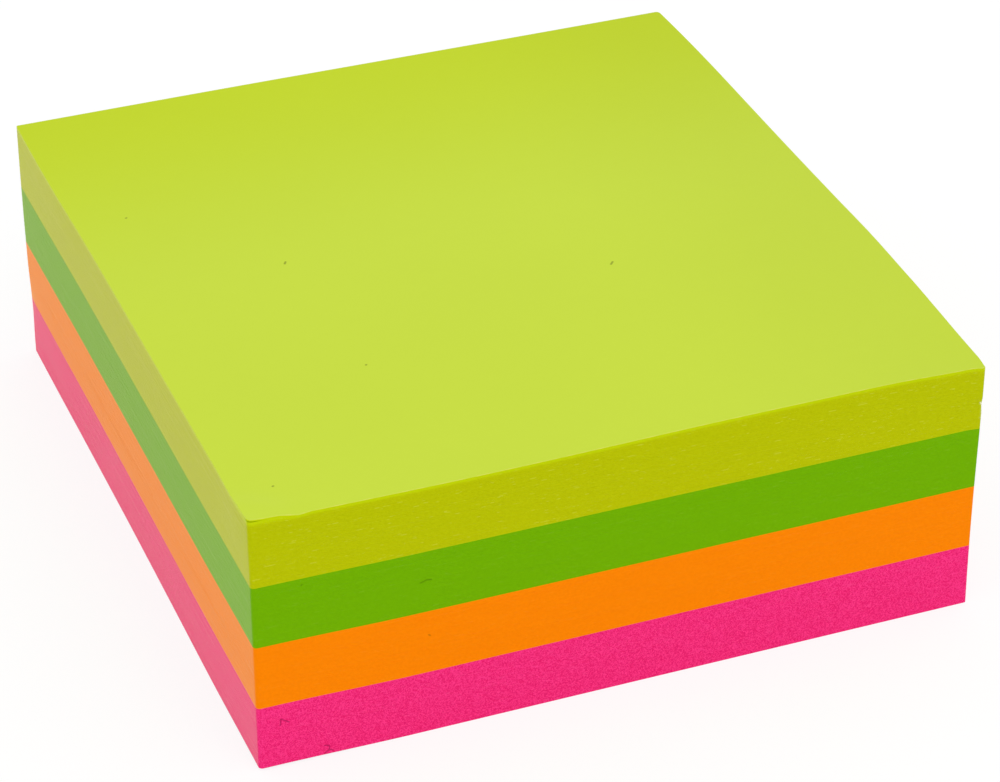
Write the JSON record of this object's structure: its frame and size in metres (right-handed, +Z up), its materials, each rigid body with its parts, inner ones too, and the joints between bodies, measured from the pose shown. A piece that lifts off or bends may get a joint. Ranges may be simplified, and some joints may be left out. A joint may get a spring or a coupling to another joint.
{
  "type": "sticky note pad",
  "caption": "Thick block of adhesive-backed note sheets in four bright colours, stacked lime, green, orange and pink, stuck along the back edge and free at the front.",
  "frame": {"origin": "centre of the pad's underside, on the surface it lies on", "axes": "+X to the right along the free front edge, +Y back to the stuck edge, +Z up through the stack"},
  "size_m": [0.076, 0.0816, 0.0286],
  "materials": {
    "lime_paper": "matte",
    "green_paper": "matte",
    "orange_paper": "matte",
    "pink_paper": "matte"
  },
  "bodies": {
    "root": {"lime_sheets": "lime_paper", "green_sheets": "green_paper", "orange_sheets": "orange_paper", "pink_sheets": "pink_paper"}
  },
  "joints": []
}
